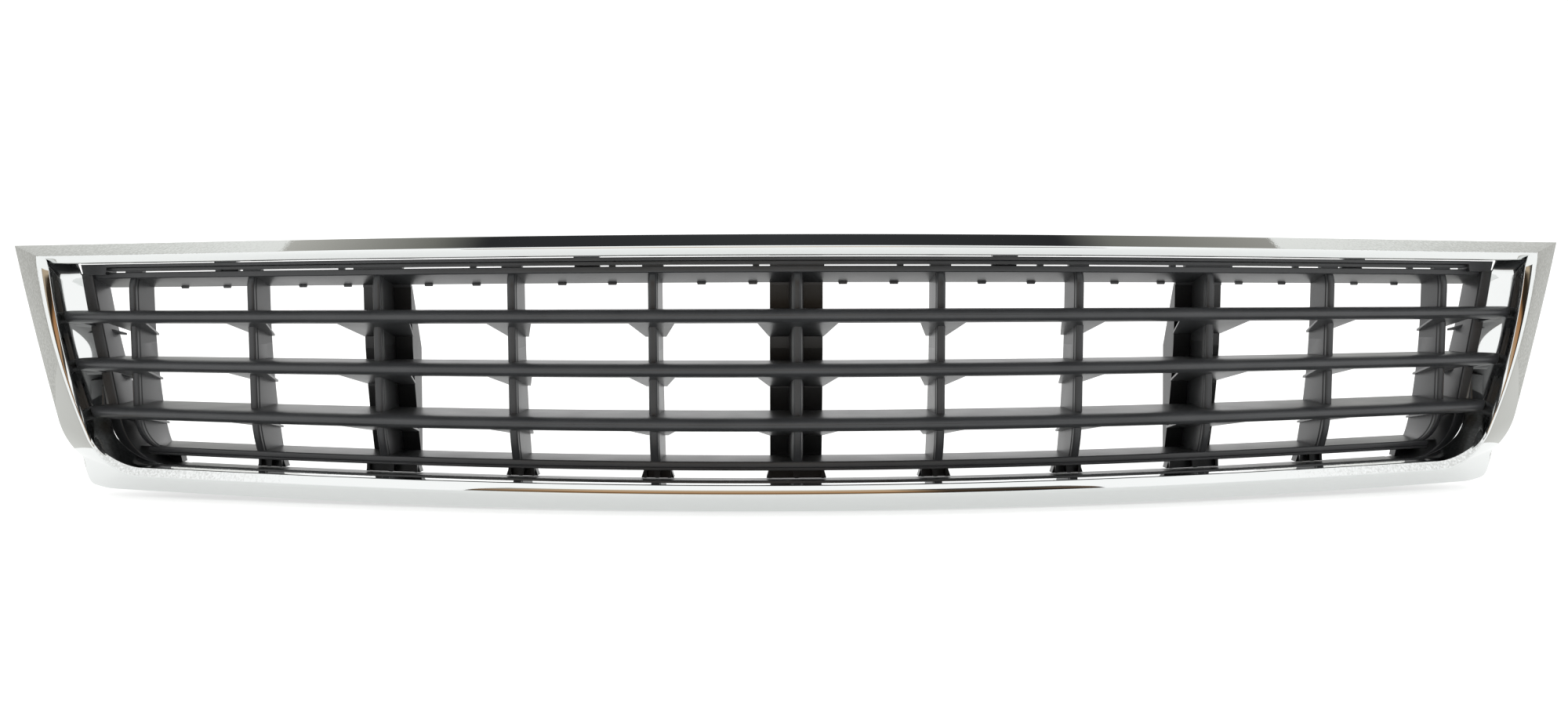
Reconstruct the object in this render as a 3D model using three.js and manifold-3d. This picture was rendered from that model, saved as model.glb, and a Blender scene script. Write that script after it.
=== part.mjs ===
// Front bumper grille: a bright-plated surround clipped round a black moulded lattice.
// Millimetres, +X to the right seen from the front, +Y to the rear, +Z up.
// The origin is the centre of the rear face of the middle support plate.
import * as THREE from "three";
import { mergeVertices } from "three/addons/utils/BufferGeometryUtils.js";
import Module from "manifold-3d";

const wasm = await Module();
wasm.setup();

// Plan curve of the face, lean of the face and crown of its lower edge.
const BOW = 5.72e-4;
const BOW_FLATTENING = 6.18e-10;
const LEAN = 0.05;
const CROWN = 0.0325;
const CROWN_TOP = 28;
const CROWN_SPAN = 460;

// Lattice.
const RIB_PITCH = 88;
const OUTER_RIB = 5;
const REAR_DEPTH = 25;
const REAR_FLARE = 0.0018;
const REAR_FLARE_TOP = 5;
const RIB_WIDTH = 5.4;
const RIB_TAIL_WIDTH = 9.2;
const RIB_TURN_TOP = 18;
const RIB_TURN_BOTTOM = -62;
const OUTER_RIB_SHIFT = 3.5;
const SLAT_PITCH = 32.7;
const SLAT_NAMES = ["slat_upper", "slat_middle", "slat_lower"];
const SLAT_TAILS = [4.25, 5.25, 6.2];
const SLAT_TAIL_THICKNESS = 3.6;
const SPINE = 5;
const SLAT_TOP = 4.1;
const SLAT_BOTTOM = -4;
const GAP = 0.35;
const CORNER_ROOM = 3.8;
const CORNER_ROOM_SPAN = [56, 64];

// Rails, and the strips above and below them.
const UPPER_RAIL_DEPTH = 3;
const UPPER_RAIL_TOP = 30;
const UPPER_RAIL_FRONT = 26.8;
const UPPER_RAIL_REAR = 21;
const LOWER_RAIL_DEPTH = 8.5;
const LOWER_RAIL_TOP = -89.8;
const LOWER_RAIL_TAIL = -88.9;
const LOWER_RAIL_BOTTOM = -95.1;
const LOWER_RAIL_TOP_END = 440;
const LOWER_RAIL_BOTTOM_END = 430;
const STRIP_END = 458;
const SILL_DEPTH = 38;
const SILL_FALL = 2.6;

// Feet between the lower rail and the sill.
const FOOT_FRONT = 29;
const FOOT_REAR = 37;
const FOOT_BOTTOM = -102.5;
const FOOT_WIDTHS = { top: 15, bottom: 21 };
const PLATE_FOOT_WIDTHS = { top: 33, bottom: 38 };
const END_FOOT = [[423, -95.6], [434, -95.6], [434, -96.6], [423, -101]];

// Support plates behind the middle rib and every third rib.
const PLATES = { support_plate_left: -3, support_plate_middle: 0, support_plate_right: 3 };
const PLATE_WIDTH = 33;
const PLATE_THICKNESS = 3;
const PLATE_TOP = 20.5;
const PLATE_BOTTOM = -92;
const PLATE_FACE_TOP = -20;
const PLATE_FACE = 50;
const PLATE_GAP = 0.5;

// Clips that hold the surround to the upper strips.
const CLIP_CENTRES = [-375, -130, 130, 375];
const CLIP_WIDTH = 16;

// Finishes.
const BLACK = { color: 0x2a2b2d, roughness: 0.55, metalness: 0 };
const PLATED = { color: 0xe4e7e8, roughness: 0.06, metalness: 1 };

// Each outline is one line round the opening, seen from the front. Its sides lean in from
// topX at topZ towards footX at footZ, radius rounds its lower corners, and bulge is how far
// a side bows out halfway down.
const OUTER = { topX: 521.8, topZ: 49, footX: 485.2, footZ: -104, radius: 42, bulge: 1.2 };
const CREST = { topX: 494, topZ: 41.6, footX: 450.5, footZ: -106.3, radius: 48, bulge: 7 };
const GROOVE = { topX: 488.6, topZ: 40.2, footX: 451, footZ: -103.8, radius: 51, bulge: 5 };
const WALL_FRONT = { topX: 488, topZ: 39.4, footX: 450.6, footZ: -103.2, radius: 50, bulge: 5 };
const WALL_REAR = { topX: 479, topZ: 36.2, footX: 453, footZ: -98.8, radius: 48, bulge: 1.5 };
const POST_OUTER = { topX: 476.4, topZ: 30, footX: 452.3, footZ: -103, radius: 40, bulge: 0 };
const POST_INNER = { topX: 469.6, topZ: 30, footX: 446.3, footZ: -100.8, radius: 36, bulge: 0 };
const LIP_WIDTH = 14;
const WALL = 2.4;
const WALL_FRONT_DEPTH = -25;
const WALL_REAR_DEPTH = 2;
const TOP_EDGE_DEPTH = -3;
const LIP_DEPTH = -12;

// Stations on an outline: the upper corner, the seam in the lower corner, the corner's end
// and the same places on the far side, counted on through the middle of the bottom edge.
const UPPER_CORNER = 1;
const WALL_END = 2.06;
const PANEL_END = 2.9;
const LOWER_SEAM = 2.5;
const CORNER_END = 3;
const LAP = 8;

function bow(x) {
  return BOW * x * x - BOW_FLATTENING * x ** 4;
}

// Turns a flat position (x, depth behind the lattice face, height) into the curved part.
function curved(x, depth, z) {
  const crown = CROWN * Math.max(0, CROWN_TOP - z) * (x / CROWN_SPAN) ** 2;
  return [x, bow(x) + depth - LEAN * z, z + crown];
}

// Depth of the lattice's rear edge, which swells towards the bottom.
function rearDepth(z) {
  return REAR_DEPTH + REAR_FLARE * Math.max(0, REAR_FLARE_TOP - z) ** 2;
}

// Depth of a rib's front edge, which turns back into both rails.
function ribFront(z) {
  const top = Math.max(0, z - RIB_TURN_TOP) / (UPPER_RAIL_FRONT - RIB_TURN_TOP);
  const bottom = Math.max(0, RIB_TURN_BOTTOM - z) / (RIB_TURN_BOTTOM - LOWER_RAIL_TOP);
  return UPPER_RAIL_DEPTH * top ** 2 + LOWER_RAIL_DEPTH * bottom ** 2;
}

// Brings a station past the middle of the bottom edge back as a mirrored, negative one.
function wrapped(t) {
  return t > LAP / 2 ? t - LAP : t;
}

// Half width of an outline's side that would be x without its bulge.
function bulged(outline, x, z) {
  const k = (outline.topZ - z) / (outline.topZ - outline.footZ);
  return x + outline.bulge * 4 * k * (1 - k);
}

// A point on an outline. The station t runs from 0 at the middle of the top to 1 at the upper
// corner, 2 where the lower corner starts, 3 where it ends and 4 at the middle of the bottom.
function outlinePoint(outline, station) {
  const t = wrapped(station);
  const side = new THREE.Vector2(outline.footX - outline.topX, outline.footZ - outline.topZ);
  side.normalize();
  const turn = Math.acos(-side.x);
  const run = outline.radius * Math.tan(turn / 2);
  const arcStart = new THREE.Vector2(outline.footX, outline.footZ).addScaledVector(side, -run);
  const hand = Math.sign(t) || 1;
  const s = Math.abs(t);
  if (s <= 1) {
    return new THREE.Vector2(hand * s * outline.topX, outline.topZ);
  }
  if (s <= 2) {
    const x = THREE.MathUtils.lerp(outline.topX, arcStart.x, s - 1);
    const z = THREE.MathUtils.lerp(outline.topZ, arcStart.y, s - 1);
    return new THREE.Vector2(hand * bulged(outline, x, z), z);
  }
  if (s <= 3) {
    const inward = new THREE.Vector2(side.y, -side.x);
    const centre = arcStart.clone().addScaledVector(inward, outline.radius);
    const point = arcStart.clone().rotateAround(centre, -turn * (s - 2));
    return new THREE.Vector2(hand * bulged(outline, point.x, point.y), point.y);
  }
  return new THREE.Vector2(hand * (outline.footX - run) * (4 - s), outline.footZ);
}

// The unit direction away from the opening at a station, or the diagonal at an upper corner.
function outwardAt(outline, station) {
  const t = wrapped(station);
  if (Math.abs(Math.abs(t) - UPPER_CORNER) < 0.006) {
    return new THREE.Vector2(Math.sign(t), 1);
  }
  const ahead = outlinePoint(outline, station + 1e-3);
  const behind = outlinePoint(outline, station - 1e-3);
  const along = ahead.sub(behind).normalize();
  return new THREE.Vector2(-along.y, along.x);
}

function offsetPoint(outline, station, outward) {
  const point = outlinePoint(outline, station);
  return point.addScaledVector(outwardAt(outline, station), outward);
}

// Half width of an outline's side at a height.
function halfWidth(outline, z) {
  const k = (outline.topZ - z) / (outline.topZ - outline.footZ);
  return bulged(outline, THREE.MathUtils.lerp(outline.topX, outline.footX, k), z);
}

// Reverses the triangles of a solid whose enclosed volume comes out negative.
function facingOut(geometry) {
  const p = geometry.attributes.position;
  const a = new THREE.Vector3();
  const b = new THREE.Vector3();
  const c = new THREE.Vector3();
  let volume = 0;
  for (let i = 0; i < p.count; i += 3) {
    a.fromBufferAttribute(p, i);
    b.fromBufferAttribute(p, i + 1);
    c.fromBufferAttribute(p, i + 2);
    volume += a.dot(b.cross(c));
  }
  for (let i = 0; volume < 0 && i < p.count; i += 3) {
    b.fromBufferAttribute(p, i + 1);
    c.fromBufferAttribute(p, i + 2);
    p.setXYZ(i + 1, c.x, c.y, c.z);
    p.setXYZ(i + 2, b.x, b.y, b.z);
  }
  return geometry;
}

// Extrudes a closed profile and moves every vertex by place(u, v, k), k running 0 to 1.
function swept(profile, steps, place) {
  const shape = new THREE.Shape(profile.map(([u, v]) => new THREE.Vector2(u, v)));
  const geometry = new THREE.ExtrudeGeometry(shape, { depth: 1, steps, bevelEnabled: false });
  const position = geometry.attributes.position;
  for (let i = 0; i < position.count; i += 1) {
    position.setXYZ(i, ...place(position.getX(i), position.getY(i), position.getZ(i)));
  }
  return facingOut(geometry);
}

// Sweeps a section that changes with its station. section(t) gives [x, depth, z] for each
// corner, and profile gives the same corners as one flat shape.
function sweptAlong(profile, section, from, to, steps) {
  return swept(profile, steps, (u, v, k) => {
    const i = profile.findIndex(([pu, pv]) => Math.hypot(pu - u, pv - v) < 1e-4);
    return curved(...section(THREE.MathUtils.lerp(from, to, k))[i]);
  });
}

const grille = new THREE.Group();
grille.position.set(0, -PLATE_FACE, -(PLATE_FACE_TOP + PLATE_BOTTOM) / 2);

function addMesh(name, geometry, finish) {
  const mesh = new THREE.Mesh(geometry, new THREE.MeshStandardMaterial(finish));
  mesh.name = name;
  grille.add(mesh);
  return mesh;
}

// ---- Plated surround ----

// Depth of the inner wall's rear edge: deep at the sides, shallow on the top and the lip.
function wallRearDepth(station) {
  const s = Math.abs(wrapped(station));
  const onTop = 1 - THREE.MathUtils.smoothstep(s, 0.96, 1.08);
  const onLip = THREE.MathUtils.smoothstep(s, 1.98, 2.1);
  const depth = THREE.MathUtils.lerp(WALL_REAR_DEPTH, LIP_DEPTH, onLip);
  return THREE.MathUtils.lerp(depth, TOP_EDGE_DEPTH, onTop);
}

// The lower lip stands out past the side band and starts in one step at the corner.
function lipGrowth(station) {
  return LIP_WIDTH * THREE.MathUtils.smoothstep(Math.abs(wrapped(station)), 2.52, 2.78);
}

function surroundSection(t) {
  const rear = wallRearDepth(t);
  const corners = [
    [OUTER, -5, lipGrowth(t)],
    [OUTER, -12, lipGrowth(t)],
    [CREST, -29, 0],
    [GROOVE, -28, 0],
    [WALL_FRONT, WALL_FRONT_DEPTH, 0],
    [WALL_REAR, rear, 0],
    [WALL_REAR, rear, WALL],
    [WALL_FRONT, WALL_FRONT_DEPTH + 1, WALL],
    [CREST, -25.6, WALL / 4],
    [OUTER, -9.6, lipGrowth(t) - WALL],
    [OUTER, -5, lipGrowth(t) - WALL],
  ];
  return corners.map(([outline, depth, outward]) => {
    const point = offsetPoint(outline, t, outward);
    return [point.x, depth, point.y];
  });
}

function addSurround(name, from, to, steps) {
  const flat = surroundSection(1.5).map(([x, depth]) => [x, depth]);
  addMesh(name, sweptAlong(flat, surroundSection, from, to, steps), PLATED);
}

addSurround("surround_top", -UPPER_CORNER + 1.2e-3, UPPER_CORNER - 1.2e-3, 36);
addSurround("surround_side_right", UPPER_CORNER + 5e-3, LOWER_SEAM - 3e-3, 22);
addSurround("surround_side_left", LAP - LOWER_SEAM + 3e-3, LAP - UPPER_CORNER - 5e-3, 22);
addSurround("surround_bottom", LOWER_SEAM + 3e-3, LAP - LOWER_SEAM - 3e-3, 46);

// ---- Lattice frame: end posts, corner panels, sill and rails ----

function postSection(t) {
  const outer = outlinePoint(POST_OUTER, t);
  const inner = outlinePoint(POST_INNER, t);
  const round = THREE.MathUtils.smoothstep(Math.abs(wrapped(t)), 2, CORNER_END);
  const rear = THREE.MathUtils.lerp(rearDepth(inner.y), SILL_DEPTH, round);
  return [
    [outer.x, 0, outer.y],
    [inner.x, 0, inner.y],
    [inner.x, rear, inner.y - SILL_FALL * round],
    [outer.x, rear, outer.y - SILL_FALL * round],
  ];
}

function panelSection(t) {
  const front = wallRearDepth(t) + 3 * GAP;
  const corners = [
    [WALL_REAR, front, 0],
    [POST_OUTER, -GAP, 0],
    [POST_OUTER, -GAP, WALL],
    [WALL_REAR, front, WALL],
  ];
  return corners.map(([outline, depth, outward]) => {
    const point = offsetPoint(outline, t, outward);
    return [point.x, depth, point.y];
  });
}

function sillSection(t) {
  const top = outlinePoint(POST_INNER, t);
  const bottom = outlinePoint(POST_OUTER, t);
  return [
    [top.x, LIP_DEPTH + 1, top.y],
    [top.x, SILL_DEPTH, top.y - SILL_FALL],
    [bottom.x, SILL_DEPTH, bottom.y - SILL_FALL],
    [bottom.x, LIP_DEPTH + 1, bottom.y],
  ];
}

const unitSquare = [[0, 0], [1, 0], [1, 1], [0, 1]];
const joint = 4e-3;
for (const [side, from, to] of [
  ["right", UPPER_CORNER, CORNER_END - joint],
  ["left", LAP - CORNER_END + joint, LAP - UPPER_CORNER],
]) {
  addMesh(`end_post_${side}`, sweptAlong(unitSquare, postSection, from, to, 20), BLACK);
}
for (const [side, from, to] of [
  ["right", WALL_END, PANEL_END],
  ["left", LAP - PANEL_END, LAP - WALL_END],
]) {
  addMesh(`corner_panel_${side}`, sweptAlong(unitSquare, panelSection, from, to, 10), BLACK);
}
addMesh("sill", sweptAlong(unitSquare, sillSection, CORNER_END, LAP - CORNER_END, 30), BLACK);

// A bar across the grille whose half width may depend on depth and height.
function addBar(name, profile, halfSpan, steps) {
  const geometry = swept(profile, steps, (depth, z, k) => {
    return curved((2 * k - 1) * halfSpan(depth, z), depth, z);
  });
  addMesh(name, geometry, BLACK);
}

const upperRail = [
  [UPPER_RAIL_DEPTH, UPPER_RAIL_TOP],
  [UPPER_RAIL_DEPTH, UPPER_RAIL_FRONT],
  [REAR_DEPTH, UPPER_RAIL_REAR],
  [REAR_DEPTH, UPPER_RAIL_REAR + 2.5],
  [UPPER_RAIL_DEPTH + 5, UPPER_RAIL_TOP - 2],
  [UPPER_RAIL_DEPTH + 5, UPPER_RAIL_TOP],
];
addBar("upper_rail", upperRail, (depth, z) => halfWidth(POST_INNER, z) - GAP, 36);

const lowerRailRear = rearDepth(LOWER_RAIL_TAIL);
const lowerRail = [
  [LOWER_RAIL_DEPTH, LOWER_RAIL_TOP],
  [LOWER_RAIL_DEPTH, LOWER_RAIL_BOTTOM],
  [lowerRailRear, LOWER_RAIL_BOTTOM + 2],
  [lowerRailRear, LOWER_RAIL_TAIL],
];
addBar(
  "lower_rail",
  lowerRail,
  (depth, z) => (z > LOWER_RAIL_TOP - 0.1 ? LOWER_RAIL_TOP_END : LOWER_RAIL_BOTTOM_END),
  36,
);

const capStrip = [[-2.5, 34.9], [12, 34.9], [12, 36], [-2.5, 36]];
addBar("cap_strip", capStrip, () => STRIP_END, 36);
const clipStrip = [[2, 32.1], [16, 32.1], [16, 33.7], [2, 33.7]];
addBar("clip_strip", clipStrip, () => STRIP_END, 36);

// ---- Slats ----

// Half width of the opening that a slat fills: the surround's wall in front of the lattice
// face, and the end posts behind it. The lowest slat is shorter to clear the corner's bend.
function slatHalfSpan(depth, z) {
  if (depth > -GAP - 0.1) {
    return halfWidth(POST_INNER, z) - 2 * GAP;
  }
  const k = (depth - WALL_FRONT_DEPTH) / (WALL_REAR_DEPTH - WALL_FRONT_DEPTH);
  const room = 1 + CORNER_ROOM * THREE.MathUtils.smoothstep(-z, ...CORNER_ROOM_SPAN);
  return THREE.MathUtils.lerp(halfWidth(WALL_FRONT, z), halfWidth(WALL_REAR, z), k) - room;
}

// Depth of a slat's rear edge, in front of the ribs' spines.
function slatTail(i) {
  return rearDepth(-i * SLAT_PITCH) - SPINE;
}

SLAT_NAMES.forEach((name, i) => {
  const z = -i * SLAT_PITCH;
  const slat = [
    [slatTail(i), z + SLAT_TAILS[i]],
    [-GAP, z + SLAT_TOP],
    [-1, z + SLAT_TOP],
    [-8, z + SLAT_TOP - 0.1],
    [-13, z + 3.5],
    [-16.6, z + 2.1],
    [-18, z + 0.2],
    [-17.3, z - 1.2],
    [-14.5, z - 3],
    [-9, z - 3.9],
    [-1, z + SLAT_BOTTOM],
    [-GAP, z + SLAT_BOTTOM],
    [slatTail(i), z + SLAT_TAILS[i] - SLAT_TAIL_THICKNESS],
  ];
  addBar(name, slat, slatHalfSpan, 36);
});

// ---- Ribs: one upright comb each, notched round the three slats ----

function ribProfile() {
  const foot = LOWER_RAIL_TOP + GAP;
  const profile = [];
  for (const z of [LOWER_RAIL_TAIL + GAP, -80, -65, -50, -30, -10]) {
    profile.push([rearDepth(z), z]);
  }
  profile.push([REAR_DEPTH, UPPER_RAIL_REAR - GAP]);
  profile.push([ribFront(UPPER_RAIL_FRONT), UPPER_RAIL_FRONT - GAP]);
  profile.push([ribFront(23), 23]);
  profile.push([0, RIB_TURN_TOP]);
  for (let i = 0; i < SLAT_NAMES.length; i += 1) {
    const z = -i * SLAT_PITCH;
    const tail = slatTail(i) + GAP;
    const tailTop = z + SLAT_TAILS[i];
    profile.push([0, z + SLAT_TOP + GAP]);
    profile.push([tail, tailTop + GAP]);
    profile.push([tail, tailTop - SLAT_TAIL_THICKNESS - GAP]);
    profile.push([ribFront(z + SLAT_BOTTOM - GAP), z + SLAT_BOTTOM - GAP]);
  }
  for (const z of [-74, -79, -84, foot]) {
    profile.push([ribFront(z), z]);
  }
  return profile;
}

for (let n = -OUTER_RIB; n <= OUTER_RIB; n += 1) {
  const geometry = swept(ribProfile(), 1, (depth, z, k) => {
    const back = Math.min(1, depth / REAR_DEPTH);
    const width = THREE.MathUtils.lerp(RIB_WIDTH, RIB_TAIL_WIDTH, back);
    const low = THREE.MathUtils.smoothstep(-z, -RIB_TURN_BOTTOM, -LOWER_RAIL_TOP - 6);
    const shift = Math.abs(n) === OUTER_RIB ? -Math.sign(n) * OUTER_RIB_SHIFT * low : 0;
    return curved(n * RIB_PITCH + shift + (k - 0.5) * width, depth, z);
  });
  addMesh(`rib_${n + OUTER_RIB + 1}`, geometry, BLACK);
}

// ---- Feet ----

// The outermost feet are small wedges in the corners, and the others flare towards the sill.
function footOutline(n) {
  if (Math.abs(n) === OUTER_RIB) {
    return END_FOOT.map(([x, z]) => [Math.sign(n) * x, z]);
  }
  const widths = Object.values(PLATES).includes(n) ? PLATE_FOOT_WIDTHS : FOOT_WIDTHS;
  const centre = n * RIB_PITCH;
  const top = LOWER_RAIL_BOTTOM - GAP;
  return [
    [centre - widths.bottom / 2, FOOT_BOTTOM],
    [centre + widths.bottom / 2, FOOT_BOTTOM],
    [centre + widths.top / 2, top],
    [centre - widths.top / 2, top],
  ];
}

for (let n = -OUTER_RIB; n <= OUTER_RIB; n += 1) {
  const geometry = swept(footOutline(n), 1, (x, z, k) => {
    return curved(x, THREE.MathUtils.lerp(FOOT_FRONT, FOOT_REAR, k), z);
  });
  addMesh(`foot_${n + OUTER_RIB + 1}`, geometry, BLACK);
}

// ---- Support plates: brackets behind a rib, with an upright rear face ----

function plateFront(z) {
  return rearDepth(z) - LEAN * z + PLATE_GAP;
}

for (const [name, n] of Object.entries(PLATES)) {
  const x = n * RIB_PITCH;
  const slope = 2 * BOW * x - 4 * BOW_FLATTENING * x ** 3;
  const bracket = [
    [PLATE_FACE, PLATE_BOTTOM],
    [PLATE_FACE, PLATE_FACE_TOP],
    [plateFront(PLATE_TOP) + PLATE_THICKNESS, PLATE_TOP],
  ];
  for (const z of [PLATE_TOP, 5, -20, -45, -70, PLATE_BOTTOM]) {
    bracket.push([plateFront(z), z]);
  }
  const geometry = swept(bracket, 1, (depth, z, k) => {
    const across = (k - 0.5) * PLATE_WIDTH;
    return [x + across, bow(x) + slope * across + depth, z];
  });
  addMesh(name, geometry, BLACK);
}

// ---- Clips: an upright leg behind the strips ----

CLIP_CENTRES.forEach((x, i) => {
  const clip = [[16.5, 28.5], [20, 28.5], [20, 37], [12.5, 37], [12.5, 34.2], [16.5, 34.2]];
  const geometry = swept(clip, 1, (depth, z, k) => curved(x + (k - 0.5) * CLIP_WIDTH, depth, z));
  addMesh(`clip_${i + 1}`, geometry, BLACK);
});

export default grille;
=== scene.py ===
import math

import bmesh
import bpy
from mathutils import Matrix, Vector


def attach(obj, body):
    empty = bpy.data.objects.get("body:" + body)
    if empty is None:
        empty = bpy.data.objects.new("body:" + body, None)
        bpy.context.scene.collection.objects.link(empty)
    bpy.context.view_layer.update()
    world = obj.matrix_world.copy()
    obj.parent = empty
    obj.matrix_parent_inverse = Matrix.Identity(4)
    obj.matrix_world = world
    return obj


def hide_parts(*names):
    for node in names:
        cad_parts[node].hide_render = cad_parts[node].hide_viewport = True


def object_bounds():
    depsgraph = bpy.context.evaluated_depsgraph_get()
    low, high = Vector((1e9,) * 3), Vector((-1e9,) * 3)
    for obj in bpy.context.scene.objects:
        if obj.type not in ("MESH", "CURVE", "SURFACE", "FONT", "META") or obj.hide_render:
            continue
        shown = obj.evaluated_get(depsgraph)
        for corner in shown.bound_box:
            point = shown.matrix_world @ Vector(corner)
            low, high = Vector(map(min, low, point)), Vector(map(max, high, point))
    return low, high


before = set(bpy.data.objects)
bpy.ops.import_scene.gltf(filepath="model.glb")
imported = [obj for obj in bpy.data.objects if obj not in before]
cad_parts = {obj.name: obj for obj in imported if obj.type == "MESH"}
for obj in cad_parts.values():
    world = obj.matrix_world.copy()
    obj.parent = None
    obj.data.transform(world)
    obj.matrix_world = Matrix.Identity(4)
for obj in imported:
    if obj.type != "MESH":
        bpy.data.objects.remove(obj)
cad_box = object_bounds()

# ---------------------------------------------------------------------------
# Shape of the grille, in millimetres. Flat positions are (x, depth, height):
# x along the grille, depth behind the lattice face, height above the top slat.
# ---------------------------------------------------------------------------
MM = 0.001
BOW = 5.72e-4  # backward curve in plan, per mm of x
BOW_FLATTENING = 6.18e-10  # taken off towards the ends, per mm cubed
LEAN = 0.05  # backward shift per mm of fall
CROWN = 0.0325  # rise at CROWN_SPAN per mm below CROWN_TOP
CROWN_TOP = 28.0
CROWN_SPAN = 460.0
FRAME_Y = -50.0  # the flat origin in the row frame
FRAME_Z = 56.0

RIB_PITCH = 88.0
RIBS = range(-5, 6)
RIB_DEPTH = 25.0
REAR_SWELL = 0.0018
SWELL_TOP = 5.0
SLAT_HEIGHTS = (0.0, -32.7, -65.4)
SLAT_TAILS = (4.25, 5.25, 6.2)
PLATE_RIBS = (-3, 0, 3)
END_RIB = 5
SILL_DEPTH = 38.0
SILL_FRONT = -11.0
SILL_FALL = 2.6
WALL = 2.4  # thickness of the surround and of the corner panels

# Stations run once round the opening: see outline_point.
LAP = 8.0
TANGENT_STEP = 1e-3
MITRE_REACH = 0.004
TOP_BLEND = (0.96, 1.08)
LIP_BLEND = (1.98, 2.35)
LIP_GROWTH = 14.0
LIP_GROWTH_BLEND = (2.52, 2.78)

# Lines round the opening: width and height of the upper corner, width and height of the
# foot, radius of the lower corner, and how far the side bulges out between the two.
OUTER = (521.6, 49, 485.2, -104, 42, 1.2)
CREST = (494, 40.7, 449, -106.5, 34, 8.4)
WALL_FRONT = (487.6, 38.8, 452.3, -103.4, 38, 6.3)
WALL_MID = (491.2, 35.6, 454.2, -100.1, 40, 6.0)
WALL_REAR = (478.5, 36.2, 450, -98.8, 46, 3)
POST_OUTER = (479.6, 30, 453.4, -103, 40, 2.8)
POST_INNER = (469.6, 30, 446.3, -100.8, 36, 0)


def lerp(a, b, k):
    return a + (b - a) * k


def smoothstep(x, lo, hi):
    k = min(1.0, max(0.0, (x - lo) / (hi - lo)))
    return k * k * (3 - 2 * k)


def bow(x):
    return BOW * x * x - BOW_FLATTENING * x**4


def curved(x, depth, z):
    """A flat position as a point of the curved part, in metres in the row frame."""
    crown = CROWN * max(0.0, CROWN_TOP - z) * (x / CROWN_SPAN) ** 2
    y = bow(x) + depth - LEAN * z
    return Vector((x, y + FRAME_Y, z + crown + FRAME_Z)) * MM


def rear_depth(z):
    """Depth of the lattice's rear edge, which swells towards the bottom."""
    return RIB_DEPTH + REAR_SWELL * max(0.0, SWELL_TOP - z) ** 2


def rib_front(z):
    """Depth of a rib's front bead, which turns back into both rails."""
    into_upper = max(0.0, z - 18) / 8.8
    into_lower = max(0.0, -62 - z) / 27.8
    return 3 * into_upper**2 + 8.5 * into_lower**2


def wrapped(t):
    """A station as a signed distance from the middle of the top: positive to the right."""
    return t - LAP if t > LAP / 2 else t


def bulged(outline, hand, x, z):
    """A point of an outline's side, pushed out most at half height."""
    k = (outline[1] - z) / (outline[1] - outline[3])
    return Vector((hand * (x + outline[5] * 4 * k * (1 - k)), z))


def outline_point(outline, station):
    """Station 0 is the middle of the top, 1 the right upper corner, 2 to 3 the right lower
    corner and 4 the middle of the foot. The left side follows, back to 8."""
    top_x, top_z, foot_x, foot_z, radius, _ = outline
    t = wrapped(station)
    hand = -1.0 if t < 0 else 1.0
    s = abs(t)
    side = Vector((foot_x - top_x, foot_z - top_z)).normalized()
    turn = math.acos(-side.x)
    run = radius * math.tan(turn / 2)
    start = Vector((foot_x, foot_z)) - side * run
    if s <= 1:
        return Vector((hand * s * top_x, top_z))
    if s <= 2:
        return bulged(outline, hand, lerp(top_x, start.x, s - 1), lerp(top_z, start.y, s - 1))
    if s <= 3:
        centre = start + Vector((side.y, -side.x)) * radius
        arm = start - centre
        a = -turn * (s - 2)
        p = centre + Vector(
            (arm.x * math.cos(a) - arm.y * math.sin(a), arm.x * math.sin(a) + arm.y * math.cos(a))
        )
        return bulged(outline, hand, p.x, p.y)
    return Vector((hand * (foot_x - run) * (4 - s), foot_z))


def offset_point(outline, station, outward):
    """A point of the outline moved outwards, along the mitre at an upper corner."""
    t = wrapped(station)
    if abs(abs(t) - 1) < MITRE_REACH:
        normal = Vector((math.copysign(1, t), 1))
    else:
        ahead = outline_point(outline, station + TANGENT_STEP)
        along = ahead - outline_point(outline, station - TANGENT_STEP)
        along.normalize()
        normal = Vector((-along.y, along.x))
    return outline_point(outline, station) + normal * outward


def half_width(outline, z):
    top_x, top_z, foot_x, foot_z, _, bulge = outline
    k = (top_z - z) / (top_z - foot_z)
    return lerp(top_x, foot_x, k) + bulge * 4 * k * (1 - k)


def rounded(points, radii, cuts=4):
    """A closed section with each corner cut back by its radius and turned in a few steps."""
    out = []
    n = len(points)
    pts = [Vector(p) for p in points]
    for i, p in enumerate(pts):
        r = radii[i] if hasattr(radii, "__len__") else radii
        before, after = pts[i - 1] - p, pts[(i + 1) % n] - p
        if r <= 0:
            out.append(p)
            continue
        a = p + before.normalized() * min(r, before.length * 0.45)
        b = p + after.normalized() * min(r, after.length * 0.45)
        for j in range(cuts + 1):
            k = j / cuts
            out.append(a * (1 - k) ** 2 + p * 2 * k * (1 - k) + b * k * k)
    return out


# ---------------------------------------------------------------------------
# Mesh building
# ---------------------------------------------------------------------------
def make_object(name, verts, faces, material, nodes, slot, sharp=35.0):
    mesh = bpy.data.meshes.new(name)
    mesh.from_pydata(verts, [], faces)
    mesh.validate()
    mesh.polygons.foreach_set("use_smooth", [True] * len(mesh.polygons))
    mesh.materials.append(material)
    obj = bpy.data.objects.new(name, mesh)
    bpy.context.scene.collection.objects.link(obj)
    fix_normals(mesh)
    mesh.set_sharp_from_angle(angle=math.radians(sharp))
    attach(obj, "root")
    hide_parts(*nodes)


def fix_normals(mesh):
    bm = bmesh.new()
    bm.from_mesh(mesh)
    bmesh.ops.recalc_face_normals(bm, faces=bm.faces)
    bm.to_mesh(mesh)
    bm.free()


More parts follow.
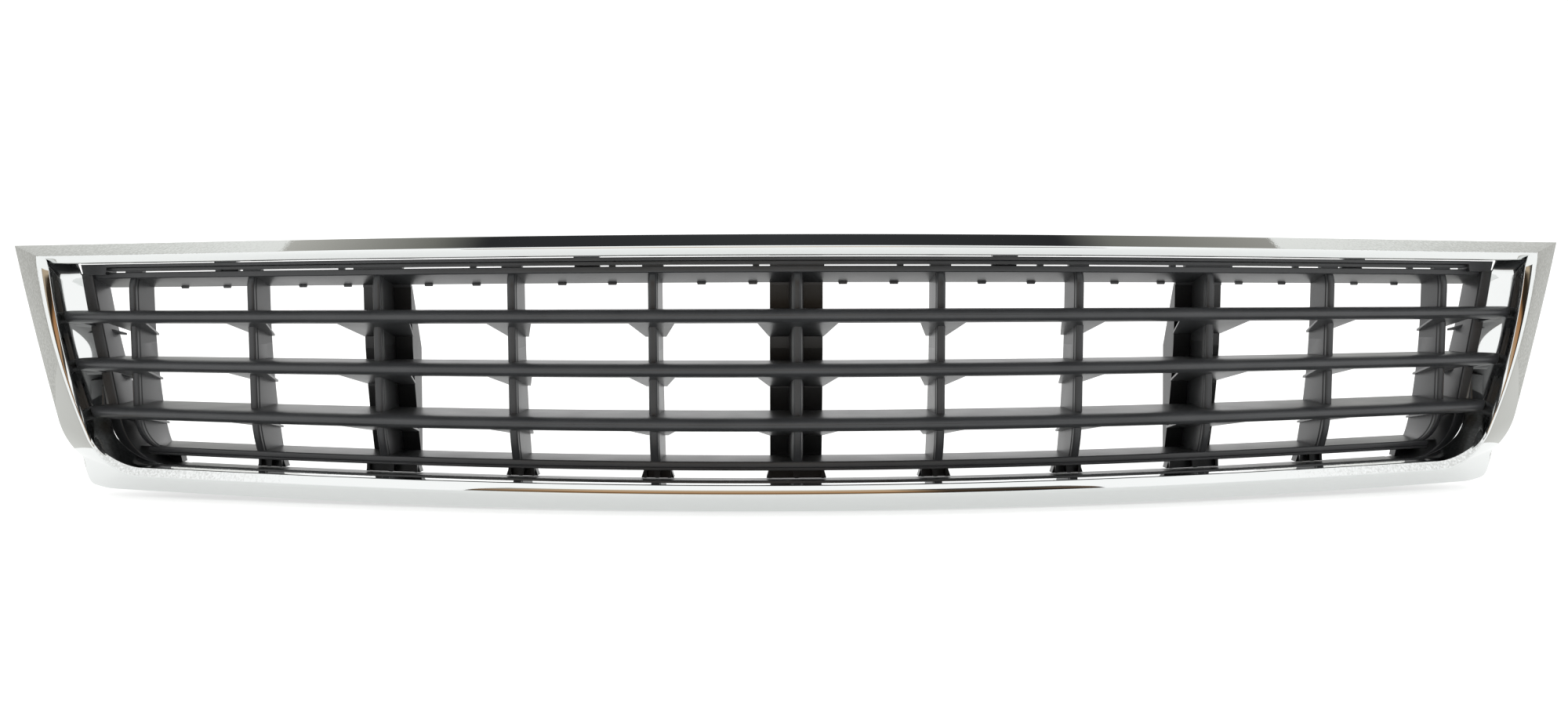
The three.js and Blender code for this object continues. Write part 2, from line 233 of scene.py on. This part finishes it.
def loft(sections, ring=False):
    """Vertices and faces of a skin through equal sections, capped unless it closes on itself."""
    n = len(sections[0])
    verts = [p for s in sections for p in s]
    faces = []
    last = len(sections) if ring else len(sections) - 1
    for i in range(last):
        a, b = i * n, ((i + 1) % len(sections)) * n
        for j in range(n):
            k = (j + 1) % n
            faces.append((a + j, a + k, b + k, b + j))
    if not ring:
        faces.append(tuple(range(n)))
        faces.append(tuple(range(len(verts) - n, len(verts))))
    return verts, faces


def merge(parts):
    verts, faces = [], []
    for v, f in parts:
        base = len(verts)
        verts += v
        faces += [tuple(i + base for i in face) for face in f]
    return verts, faces


def steps(lo, hi, count):
    return [lerp(lo, hi, i / count) for i in range(count + 1)]


# ---------------------------------------------------------------------------
# Materials
# ---------------------------------------------------------------------------
def new_material(name):
    material = bpy.data.materials.new(name)
    material.use_nodes = True
    tree = material.node_tree
    return material, tree, tree.nodes["Principled BSDF"]


def add_noise(tree, scale, detail):
    coord = tree.nodes.new("ShaderNodeTexCoord")
    noise = tree.nodes.new("ShaderNodeTexNoise")
    noise.inputs["Scale"].default_value = scale
    noise.inputs["Detail"].default_value = detail
    tree.links.new(coord.outputs["Object"], noise.inputs["Vector"])
    return noise


def add_ramp(tree, source, stops):
    ramp = tree.nodes.new("ShaderNodeValToRGB")
    elements = ramp.color_ramp.elements
    elements[0].position, elements[0].color = stops[0][0], (*stops[0][1], 1)
    elements[1].position, elements[1].color = stops[1][0], (*stops[1][1], 1)
    for position, color in stops[2:]:
        extra = elements.new(position)
        extra.color = (*color, 1)
    tree.links.new(source, ramp.inputs["Fac"])
    return ramp


def add_bump(tree, bsdf, height, strength, distance):
    bump = tree.nodes.new("ShaderNodeBump")
    bump.inputs["Strength"].default_value = strength
    bump.inputs["Distance"].default_value = distance
    tree.links.new(height, bump.inputs["Height"])
    tree.links.new(bump.outputs["Normal"], bsdf.inputs["Normal"])


def add_math(tree, operation, first, second):
    node = tree.nodes.new("ShaderNodeMath")
    node.operation = operation
    for socket, value in zip(node.inputs, (first, second)):
        if isinstance(value, float):
            socket.default_value = value
        else:
            tree.links.new(value, socket)
    return node.outputs["Value"]


def grey(value):
    return (value, value, value)


def black_plastic(name, dark, light):
    """Fine-grained black plastic, a little blue, between two shades."""
    material, tree, bsdf = new_material(name)
    patches = add_noise(tree, 35.0, 3.0)
    shades = [(p, (s, 1.04 * s, 1.1 * s)) for p, s in ((0.3, dark), (0.75, light))]
    tone = add_ramp(tree, patches.outputs["Fac"], shades)
    tree.links.new(tone.outputs["Color"], bsdf.inputs["Base Color"])
    grain = add_noise(tree, 1500.0, 2.0)
    rough = add_ramp(tree, patches.outputs["Fac"], [(0.2, grey(0.31)), (0.8, grey(0.4))])
    tree.links.new(rough.outputs["Color"], bsdf.inputs["Roughness"])
    add_bump(tree, bsdf, grain.outputs["Fac"], strength=0.25, distance=0.0002)
    return material


def plated():
    """Bright wavy plating, slightly pitted on its outer faces towards both ends."""
    material, tree, bsdf = new_material("plated")
    bsdf.inputs["Metallic"].default_value = 1.0
    coord = tree.nodes.new("ShaderNodeTexCoord")
    split = tree.nodes.new("ShaderNodeSeparateXYZ")
    tree.links.new(coord.outputs["Object"], split.inputs["Vector"])
    near_end = tree.nodes.new("ShaderNodeMapRange")
    near_end.inputs["From Min"].default_value = 0.2
    near_end.inputs["From Max"].default_value = 0.42
    tree.links.new(add_math(tree, "ABSOLUTE", split.outputs["X"], 0.0), near_end.inputs["Value"])
    grain = add_noise(tree, 620.0, 3.0)
    normal = tree.nodes.new("ShaderNodeSeparateXYZ")
    tree.links.new(coord.outputs["Normal"], normal.inputs["Vector"])
    sideways = add_math(tree, "MULTIPLY", split.outputs["X"], normal.outputs["X"])
    outward = add_math(tree, "ADD", sideways, normal.outputs["Z"])
    outer = add_math(tree, "GREATER_THAN", outward, 0.15)
    pitted = add_math(tree, "MULTIPLY", grain.outputs["Fac"], near_end.outputs["Result"])
    pitted = add_math(tree, "MULTIPLY", pitted, outer)
    tone = add_ramp(tree, pitted, [(0.3, (0.7, 0.715, 0.71)), (0.62, (0.52, 0.53, 0.52))])
    tree.links.new(tone.outputs["Color"], bsdf.inputs["Base Color"])
    patches = add_noise(tree, 18.0, 3.0)
    rough = add_ramp(tree, patches.outputs["Fac"], [(0.3, grey(0.02)), (0.8, grey(0.05))])
    tree.links.new(rough.outputs["Color"], bsdf.inputs["Roughness"])
    waves = add_noise(tree, 30.0, 2.0)
    height = add_math(tree, "ADD", pitted, waves.outputs["Fac"])
    add_bump(tree, bsdf, height, strength=0.1, distance=0.0003)
    return material


BLACK = black_plastic("black_plastic", dark=0.029, light=0.04)
# The support plates get a darker copy of the same black plastic: painted shade, not a different
# plastic.
PLATE_PAINTED_SHADE = black_plastic("plate_plastic_painted_shade", dark=0.008, light=0.013)
PLATED = plated()

# ---------------------------------------------------------------------------
# Plated surround
# ---------------------------------------------------------------------------
def by_side(station, top, side, lip):
    """A value for the top, the sides or the lip, blended where they meet."""
    s = abs(wrapped(station))
    on_top = 1 - smoothstep(s, *TOP_BLEND)
    on_lip = smoothstep(s, *LIP_BLEND)
    return lerp(lerp(side, lip, on_lip), top, on_top)


def wall_rear_depth(station):
    return by_side(station, top=-3.0, side=0.8, lip=-12.0)


def lip_growth(station):
    """How much wider the lower lip is than the sides."""
    return LIP_GROWTH * smoothstep(abs(wrapped(station)), *LIP_GROWTH_BLEND)


def surround_section(t):
    rear = wall_rear_depth(t)
    front = by_side(t, top=-28.3, side=-25.0, lip=-28.3)
    middle = by_side(t, top=-26.3, side=-13.0, lip=-26.0)
    crest_radius = by_side(t, top=1.5, side=5.0, lip=1.5)
    middle_radius = by_side(t, top=1.0, side=5.0, lip=1.0)
    grow = lip_growth(t)
    # Each corner has its outline, depth, outward shift and radius.
    corners = [
        (OUTER, -5, grow, 0.3),
        (OUTER, -12, grow, 1.8),
        (CREST, -29, 0, crest_radius),
        (WALL_FRONT, front, 0, 1.4),
        (WALL_MID, middle, 0, middle_radius),
        (WALL_REAR, rear, 0, 0.5),
        (WALL_REAR, rear, WALL, 0.4),
        (WALL_MID, middle + 1, WALL, 0.5),
        (CREST, -25.4, WALL / 4, 0.5),
        (OUTER, -9.6, grow - WALL, 0.5),
        (OUTER, -5, grow - WALL, 0.3),
    ]
    flat = []
    for outline, depth, outward, _ in corners:
        p = offset_point(outline, t, outward)
        flat.append((p.x, depth, p.y))
    return [curved(*p) for p in rounded(flat, [c[3] for c in corners], 7)]


def surround_stations():
    """Stations round the opening, closest together where the outline turns."""
    half = steps(0, 0.97, 60) + steps(0.98, 1.0, 3) + steps(1.01, 1.06, 5) + steps(1.07, 2, 44)
    half += steps(2.0, 3.0, 56)[1:] + steps(3.0, 4.0, 60)[1:]
    return half + [LAP - t for t in reversed(half[1:-1])]


make_object(
    "surround",
    *loft([surround_section(t) for t in surround_stations()], ring=True),
    PLATED,
    ["surround_top", "surround_side_left", "surround_side_right", "surround_bottom"],
    "plated",
    sharp=28,
)

# ---------------------------------------------------------------------------
# Lattice frame
# ---------------------------------------------------------------------------
def post_section(t):
    """An end post, which deepens and drops at its rear as it curves into the sill."""
    outer, inner = outline_point(POST_OUTER, t), outline_point(POST_INNER, t)
    low = smoothstep(abs(wrapped(t)), 2, 3)
    rear = lerp(rear_depth(inner.y), SILL_DEPTH, low)
    fall = SILL_FALL * low
    flat = [
        (outer.x, 1 - low, outer.y),
        (inner.x, 0, inner.y),
        (lerp(inner.x, outer.x, 0.15), rear, lerp(inner.y, outer.y, 0.15) - fall),
        (lerp(outer.x, inner.x, 0.35), rear, lerp(outer.y, inner.y, 0.35) - fall),
    ]
    return [curved(*p) for p in rounded(flat, [0.8, 1.6, 0.4, 0.4])]


def panel_section(t):
    """A wall from the rear edge of the surround back to the post."""
    front = wall_rear_depth(t) + 0.3
    rear = 0.5
    flat = []
    for outline, depth, outward in (
        (WALL_REAR, front, 0),
        (POST_OUTER, rear, 0),
        (POST_OUTER, rear, WALL),
        (WALL_REAR, front, WALL),
    ):
        p = offset_point(outline, t, outward)
        flat.append((p.x, depth, p.y))
    return [curved(*p) for p in rounded(flat, 0.3)]


def sill_section(t):
    top, bottom = outline_point(POST_INNER, t), outline_point(POST_OUTER, t)
    flat = [
        (top.x, SILL_FRONT, top.y),
        (top.x, SILL_DEPTH, top.y - SILL_FALL),
        (bottom.x, SILL_DEPTH, bottom.y - SILL_FALL),
        (bottom.x, SILL_FRONT, bottom.y),
    ]
    return [curved(*p) for p in rounded(flat, 0.4)]


def bar(profile, radii, half_span, count):
    """A bar across the grille: half_span gives its reach at each corner of the section."""
    section = rounded([(0, d, z) for d, z in profile], radii)
    sections = []
    for k in steps(-1, 1, count):
        sections.append([curved(k * half_span(p.y, p.z), p.y, p.z) for p in section])
    return loft(sections)


def block(centre, low, high, widths, radius=0.4):
    """An upright block: low and high are (depth, z) corners, widths its bottom and top."""
    bottom, top = widths
    rings = []
    for depth in (low[0], high[0]):
        outline = [
            (centre - bottom / 2, depth, low[1]),
            (centre + bottom / 2, depth, low[1]),
            (centre + top / 2, depth, high[1]),
            (centre - top / 2, depth, high[1]),
        ]
        rings.append([curved(*p) for p in rounded(outline, radius)])
    return loft(rings)


def is_wide(n):
    return n in PLATE_RIBS


def add_outline_part(name, section, span, count, extra=()):
    body = loft([section(t) for t in steps(*span, count)])
    make_object(name, *merge([body, *extra]), BLACK, [name], "black_plastic")


for side, hand in (("right", 1), ("left", -1)):
    span = (1, 3.0) if hand > 0 else (LAP - 3.0, LAP - 1)
    top = block(hand * 467.5, low=(-1, 29), high=(14, 36), widths=(17, 20))
    add_outline_part("end_post_" + side, post_section, span, 60, [top])
    span = (2.0, 2.97) if hand > 0 else (LAP - 2.97, LAP - 2.0)
    add_outline_part("corner_panel_" + side, panel_section, span, 40)
add_outline_part("sill", sill_section, (2.995, LAP - 2.995), 90)


# The upper rail, its hanging tabs, and the blocks that carry the two strips above it.
BAR_CUTS = 110
PLATE_WIDTH = 33
RAIL_FRONT = (3, 26.8)  # depth and height of both ends of the rail's underside
RAIL_REAR = (25, 21)
UPPER_RAIL = [(3, 30.6), RAIL_FRONT, RAIL_REAR, (25, 23.5), (8, 28), (8, 30.6)]
UPPER_RAIL_RADII = [0.6, 0.9, 0.3, 0.3, 0.3, 0.3]
NARROW_BLOCK = 13
PEG_SHIFT = 19
TAB_SHIFTS = (-15, 17)


def upper_rail_half_span(depth, z):
    return half_width(POST_INNER, z) + 1


rail_parts = [bar(UPPER_RAIL, UPPER_RAIL_RADII, upper_rail_half_span, BAR_CUTS)]
for n in RIBS:
    x = n * RIB_PITCH
    width = PLATE_WIDTH if is_wide(n) else NARROW_BLOCK
    rail_parts.append(block(x, (4.5, 29.5), (9.5, 35.1), (width, width)))
    if is_wide(n):
        rail_parts.append(block(x, (24.5, 19.5), (27.5, 23.6), (PLATE_WIDTH, PLATE_WIDTH)))
    if n < END_RIB:
        middle = (n + 0.5) * RIB_PITCH
        rail_parts.append(block(middle + PEG_SHIFT, (5, 29.6), (8, 32.3), (4, 4), 0.2))
        for shift in TAB_SHIFTS:
            rail_parts.append(block(middle + shift, (23.6, 19.9), (24.9, 21.6), (5, 6), 0.2))
make_object("upper_rail", *merge(rail_parts), BLACK, ["upper_rail"], "black_plastic")

# The lower rail, with a groove along its lip, and the two strips.
LOWER_TOP = -88.9
LOWER_REAR = rear_depth(LOWER_TOP)
LOWER_RAIL = [
    (8.5, -89.8),
    (8.5, -93.4),
    (9.3, -93.7),
    (9.3, -94.2),
    (8.6, -94.5),
    (8.7, -95.4),
    (LOWER_REAR, -93.4),
    (LOWER_REAR, LOWER_TOP),
]
LOWER_RAIL_RADII = [1.2, 0.5, 0.2, 0.2, 0.3, 0.5, 0.4, 0.4]
STRIP_HALF_SPAN = 458


def lower_rail_half_span(depth, z):
    return 443 if z > -89.9 else 436


def strip_half_span(depth, z):
    return STRIP_HALF_SPAN


lower_rail = bar(LOWER_RAIL, LOWER_RAIL_RADII, lower_rail_half_span, BAR_CUTS)
make_object("lower_rail", *lower_rail, BLACK, ["lower_rail"], "black_plastic")
for name, profile in (
    ("cap_strip", [(-2.5, 33.9), (12, 33.9), (12, 36), (-2.5, 36)]),
    ("clip_strip", [(2, 31.6), (16, 31.6), (16, 33.7), (2, 33.7)]),
):
    strip = bar(profile, 0.3, strip_half_span, BAR_CUTS)
    make_object(name, *strip, BLACK, [name], "black_plastic")

# ---------------------------------------------------------------------------
# Slats: a creased nose, and an end that is rounded back where it meets the wall
# ---------------------------------------------------------------------------
SLAT_NOSE = [  # depth, height and corner radius
    (-8, 4.54, 3.0),
    (-12.6, 3.98, 2.2),
    (-16, 2.46, 1.6),
    (-17.9, 0.55, 0.8),
    (-17.5, -0.75, 0.5),
    (-16.8, -1.68, 0.9),
    (-14, -3.47, 1.8),
    (-9, -4.37, 2.0),
]
SLAT_THICKNESS = 3.6  # at the tail
TAIL_SETBACK = 5
TIP_DEPTH = -12.0
TIP_LENGTH = 11.0
TIP_KEEP = 0.12  # how much of the nose is left at the very end
TIP_START = 0.97


def wall_half_width(depth, z):
    """Half the distance between the surround's inner side walls."""
    if depth < -13:
        k = (depth + 25) / 12
        return lerp(half_width(WALL_FRONT, z), half_width(WALL_MID, z), k)
    return lerp(half_width(WALL_MID, z), half_width(WALL_REAR, z), (depth + 13) / 13.8)


def slat_half_span(depth, z):
    if depth > 0:
        return half_width(POST_INNER, z) + 1.0
    return wall_half_width(max(depth, TIP_DEPTH), z) - 0.5


def slat_section(section, u):
    """The section at u, which runs from -1 to 1 and drops its nose near either end."""
    points = []
    for p in section:
        span = slat_half_span(p.y, p.z)
        x = u * span
        into_tip = min(1.0, max(0.0, (abs(x) - span + TIP_LENGTH) / TIP_LENGTH))
        depth = p.y
        if depth < TIP_DEPTH:
            keep = TIP_KEEP + (1 - TIP_KEEP) * math.sqrt(1 - into_tip**2)
            depth = TIP_DEPTH + (depth - TIP_DEPTH) * keep
        points.append(curved(x, depth, p.z))
    return points


def slat(height, tail, tail_top):
    underside = [(0, -4.0, 1.0), (tail, tail_top - SLAT_THICKNESS, 0.5)]
    corners = [(tail, tail_top, 0.5)] + SLAT_NOSE + underside
    section = rounded([(0, d, height + z) for d, z, _ in corners], [r for *_, r in corners], 5)
    middle = steps(-TIP_START, TIP_START, 150)
    tip = []
    for k in steps(0, 1, 10)[1:]:
        tip.append(TIP_START + 0.03 * math.sin(math.pi / 2 * k))
    stations = [-u for u in reversed(tip)] + middle + tip
    return loft([slat_section(section, u) for u in stations])


for name, height, tail_top in zip(
    ("slat_upper", "slat_middle", "slat_lower"), SLAT_HEIGHTS, SLAT_TAILS
):
    parts = slat(height, rear_depth(height) - TAIL_SETBACK, tail_top)
    make_object(name, *parts, BLACK, [name], "black_plastic", sharp=42)

# ---------------------------------------------------------------------------
# Ribs, with the ramped webs that brace them under each slat
# ---------------------------------------------------------------------------
BEAD_REAR = 4.4
RIB_SECTION = [  # across, depth and corner radius
    (-2.6, 1.0, 1.0),
    (-1.5, -0.05, 0.9),
    (1.5, -0.05, 0.9),
    (2.6, 1.0, 1.0),
    (2.6, 3.6, 0.4),
    (3.1, BEAD_REAR, 0.4),
    (4.6, RIB_DEPTH, 0.4),
    (-4.6, RIB_DEPTH, 0.4),
    (-3.1, BEAD_REAR, 0.4),
    (-2.6, 3.6, 0.4),
]
RIB_TOP = 28.4
RIB_BOTTOM = -92.0
SWEEP = 12
WEB_DROPS = (-12.1, -10.9, -10.0)
WEB_FRONT = -10
WEB_START = -3.4
WIDE_WEB = (24.7, 17.2)  # half widths in front and at the rear
NARROW_WEB = (14.4, 6.7)


def corner_sweep(n, z):
    """How far an outermost rib's bead sweeps in towards the lower rail."""
    if abs(n) < END_RIB:
        return 0.0
    k = min(0.999, max(0.0, (-71 - z) / 19.5))
    return -math.copysign(SWEEP * (1 - math.sqrt(1 - k * k)), n)


def rib_point(n, x, depth, z):
    """A point of rib n, kept just inside the upper rail and above the lower rail."""
    front, rear = rib_front(z), rear_depth(z)
    far = max(0.0, depth - BEAD_REAR) / (RIB_DEPTH - BEAD_REAR)
    d = lerp(front + depth, rear, far) if far > 0 else front + depth
    fall, run = RAIL_FRONT[1] - RAIL_REAR[1], RAIL_REAR[0] - RAIL_FRONT[0]
    under_rail = RAIL_FRONT[1] - max(0.0, d - RAIL_FRONT[0]) * fall / run + 1.2
    over_rail = -89.6 if d > 12 else RIB_BOTTOM
    height = max(min(z, under_rail if d > 4 else RIB_TOP), over_rail)
    return curved(n * RIB_PITCH + corner_sweep(n, z) * (1 - 0.8 * far) + x, d, height)


def rib(n):
    section = rounded([(x, d, 0) for x, d, _ in RIB_SECTION], [r for *_, r in RIB_SECTION])
    sections = []
    for z in steps(RIB_BOTTOM, RIB_TOP, 80):
        sections.append([rib_point(n, p.x, p.y, z) for p in section])
    return loft(sections)


def web(left, right, height, drop):
    """A ramp from a slat's underside down to the rear: left and right are front and rear x."""
    rear = rear_depth(height + drop)
    rings = []
    for k in steps(0, 1, 6):
        depth = lerp(WEB_FRONT, rear, k)
        z = height + lerp(WEB_START, drop, k)
        low, high = z - 0.6, z + 0.9
        a, b = lerp(*left, k), lerp(*right, k)
        corners = [(a, depth, low), (b, depth, low), (b, depth, high), (a, depth, high)]
        rings.append([curved(*p) for p in rounded(corners, 0.25, 2)])
    return loft(rings)


def end_web(hand, height, drop):
    """The ramp that braces a slat's end against the surround's wall and the end post."""
    at_wall = hand * (wall_half_width(WEB_FRONT, height - 4) - 0.6)
    at_post = hand * (half_width(POST_INNER, height + drop) + 0.5)
    inner = (at_wall - hand * 9, at_post - hand * 4)
    return web((at_wall, at_post), inner, height, drop)


for number, n in enumerate(RIBS, start=1):
    x = n * RIB_PITCH
    parts = [rib(n)]
    front, rear = WIDE_WEB if is_wide(n) else NARROW_WEB
    for height, drop in zip(SLAT_HEIGHTS, WEB_DROPS):
        parts.append(web((x - front, x - rear), (x + front, x + rear), height, drop))
        if abs(n) == END_RIB:
            parts.append(end_web(math.copysign(1, n), height, drop))
    name = f"rib_{number}"
    make_object(name, *merge(parts), BLACK, [name], "black_plastic", sharp=40)

# ---------------------------------------------------------------------------
# Feet under the lower rail, each with the tail of its rib's bead in front
# ---------------------------------------------------------------------------
WIDE_FOOT = (38, 33)  # widths at the bottom and at the top
NARROW_FOOT = (21, 15)
END_FOOT = (21, 17)
END_FOOT_X = 431

for number, n in enumerate(RIBS, start=1):
    widths = WIDE_FOOT if is_wide(n) else NARROW_FOOT
    centre = n * RIB_PITCH
    if abs(n) == END_RIB:
        widths, centre = END_FOOT, math.copysign(END_FOOT_X, n)
    parts = [block(centre, (29, -102.4), (37, -93.6), widths, 0.5)]
    if abs(n) < END_RIB:
        parts.append(block(centre, (24, -102.0), (30, -93.8), (3.4, 5.4), 1.0))
        for side in (-1, 1):
            edge = centre + side * (widths[1] / 2 + 0.2)
            parts.append(block(edge, (26, -102.2), (29.5, -93.8), (2.2, 1.4), 0.4))
    name = f"foot_{number}"
    make_object(name, *merge(parts), BLACK, [name], "black_plastic")

# ---------------------------------------------------------------------------
# Packed pieces that stay: support plates and clips, with softened edges
# ---------------------------------------------------------------------------
for name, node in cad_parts.items():
    if node.hide_render:
        continue
    node.data.materials.clear()
    # Support plates take the darker copy of the black plastic, which is painted shade; the clips
    # keep the plain black plastic.
    node.data.materials.append(PLATE_PAINTED_SHADE if "plate" in node.name else BLACK)
    bevel = node.modifiers.new("edges", "BEVEL")
    bevel.width = 0.0006
    bevel.segments = 2
    bevel.limit_method = "ANGLE"

# ---------------------------------------------------------------------------
# Studio
# ---------------------------------------------------------------------------
WORLD_LIGHT = 1.3

scene = bpy.context.scene
scene.view_settings.view_transform = "Standard"
scene.view_settings.look = "None"
world = bpy.data.worlds.new("studio")
scene.world = world
world.use_nodes = True
background = world.node_tree.nodes["Background"]
background.inputs["Color"].default_value = (1, 1, 1, 1)
background.inputs["Strength"].default_value = WORLD_LIGHT


def stage_plane(name, centre, right, up, width, height, material, card=True):
    """A flat stage piece spanned by right and up; a card is seen only in reflections."""
    mesh = bpy.data.meshes.new(name)
    w, h = width / 2, height / 2
    mesh.from_pydata([(-w, -h, 0), (w, -h, 0), (w, h, 0), (-w, h, 0)], [], [(0, 1, 2, 3)])
    mesh.materials.append(material)
    obj = bpy.data.objects.new(name, mesh)
    scene.collection.objects.link(obj)
    right, up = Vector(right), Vector(up)
    turn = Matrix((right, up, right.cross(up))).transposed().to_4x4()
    obj.matrix_world = Matrix.Translation(centre) @ turn
    if card:
        obj.visible_camera = False
        obj.visible_diffuse = False
        obj.visible_shadow = False


def glow(name, across, upward=None):
    """Light that changes across the card, and upward where a second ramp is given."""
    material = bpy.data.materials.new(name)
    material.use_nodes = True
    tree = material.node_tree
    tree.nodes.clear()
    coord = tree.nodes.new("ShaderNodeTexCoord")
    split = tree.nodes.new("ShaderNodeSeparateXYZ")
    tree.links.new(coord.outputs["Generated"], split.inputs["Vector"])
    color = add_ramp(tree, split.outputs["X"], across).outputs["Color"]
    if upward:
        height = add_ramp(tree, split.outputs["Y"], upward)
        mix = tree.nodes.new("ShaderNodeMix")
        mix.data_type = "RGBA"
        mix.blend_type = "MULTIPLY"
        mix.inputs["Factor"].default_value = 1.0
        tree.links.new(color, mix.inputs["A"])
        tree.links.new(height.outputs["Color"], mix.inputs["B"])
        color = mix.outputs["Result"]
    emission = tree.nodes.new("ShaderNodeEmission")
    tree.links.new(color, emission.inputs["Color"])
    out = tree.nodes.new("ShaderNodeOutputMaterial")
    tree.links.new(emission.outputs["Emission"], out.inputs["Surface"])
    return material


def paper():
    """Plain pale paper that glows enough to stay white."""
    material, tree, bsdf = new_material("floor")
    bsdf.inputs["Base Color"].default_value = (0.5, 0.503, 0.5, 1)
    bsdf.inputs["Roughness"].default_value = 0.9
    bsdf.inputs["Specular IOR Level"].default_value = 0.1
    bsdf.inputs["Emission Color"].default_value = (0.6, 0.603, 0.6, 1)
    bsdf.inputs["Emission Strength"].default_value = 1.0
    return material


EAST, NORTH, UP = (1, 0, 0), (0, 1, 0), (0, 0, 1)
FLOOR_SIZE = 30
FLOOR_GAP = 0.001
floor_z = cad_box[0].z - FLOOR_GAP
stage_plane("floor", (0, 0, floor_z), EAST, NORTH, FLOOR_SIZE, FLOOR_SIZE, paper(), card=False)

# Cards that only the reflections show. The room in front is white low down, then has a dark
# stripe and turns warm to white above it; to the right it is dark. The sides darken towards
# the front. The ceiling behind is dark in the middle and pale at both ends.
TAN = (0.64, 0.51, 0.36)
ROOM_ACROSS = [
    (0.0, (0.35, 0.34, 0.31)),
    (0.08, (0.5, 0.42, 0.32)),
    (0.2, TAN),
    (0.66, TAN),
    (0.74, (0.10, 0.09, 0.08)),
    (0.88, (0.06, 0.055, 0.05)),
    (1.0, (0.22, 0.21, 0.2)),
]
ROOM_UPWARD = [
    (0.0, (1.0, 1.0, 1.0)),
    (0.28, (0.9, 0.9, 0.9)),
    (0.31, (0.06, 0.055, 0.05)),
    (0.36, (0.05, 0.045, 0.04)),
    (0.4, (0.8, 0.5, 0.3)),
    (0.7, (1.0, 0.95, 0.9)),
    (1.0, (1.1, 1.1, 1.1)),
]
room = glow("room", ROOM_ACROSS, ROOM_UPWARD)
stage_plane("room", (0, -1.15, 0.4), EAST, UP, 2.0, 1.2, room)
SIDE_ACROSS = [
    (0.0, (0.6, 0.59, 0.56)),
    (0.1, (0.8, 0.8, 0.77)),
    (0.25, (0.94, 0.95, 0.92)),
    (1.0, (1.0, 1.0, 0.98)),
]
for name, x in (("side_left", -0.55), ("side_right", 0.55)):
    stage_plane(name, (x, 0.33, 0.2), NORTH, UP, 0.6, 0.52, glow(name, SIDE_ACROSS))
CEILING_ACROSS = [
    (0.0, (1.0, 1.0, 0.97)),
    (0.15, (0.95, 0.95, 0.91)),
    (0.25, (0.62, 0.61, 0.57)),
    (0.34, (0.2, 0.2, 0.18)),
    (0.365, (0.03, 0.031, 0.033)),
    (0.5, (0.045, 0.047, 0.05)),
    (0.635, (0.03, 0.031, 0.033)),
    (0.66, (0.2, 0.2, 0.18)),
    (0.75, (0.4, 0.39, 0.36)),
    (0.83, (0.6, 0.59, 0.54)),
    (1.0, (0.95, 0.95, 0.9)),
]
stage_plane("ceiling", (0, 2.2, 2.0), EAST, NORTH, 6.6, 2.4, glow("ceiling", CEILING_ACROSS))

# ---------------------------------------------------------------------------
# Camera, at the photograph's viewing angle: place in flat millimetres, angles in radians
# ---------------------------------------------------------------------------
CAMERA_AT = (-22.4, -810.0, -1.0)
CAMERA_YAW = 0.0175
CAMERA_PITCH = -0.0252
CAMERA_ROLL = -0.0032
FOCAL_WIDTHS = 1706.3 / 2000  # focal length over the width of the frame
SENSOR_WIDTH = 36.0

data = bpy.data.cameras.new("camera")
data.sensor_width = SENSOR_WIDTH
data.lens = SENSOR_WIDTH * FOCAL_WIDTHS
camera = bpy.data.objects.new("camera", data)
scene.collection.objects.link(camera)
right = Vector((math.cos(CAMERA_YAW), -math.sin(CAMERA_YAW), 0))
forward = Vector((math.sin(CAMERA_YAW), math.cos(CAMERA_YAW), 0))
up = Vector((0, 0, 1))
cp, sp = math.cos(CAMERA_PITCH), math.sin(CAMERA_PITCH)
up, forward = cp * up - sp * forward, sp * up + cp * forward
cr, sr = math.cos(CAMERA_ROLL), math.sin(CAMERA_ROLL)
right, up = cr * right + sr * up, cr * up - sr * right
turn = Matrix((right, up, -forward)).transposed().to_4x4()
place = Vector(CAMERA_AT) + Vector((0, FRAME_Y, FRAME_Z))
camera.matrix_world = Matrix.Translation(place * MM) @ turn
scene.camera = camera

bpy.context.view_layer.update()
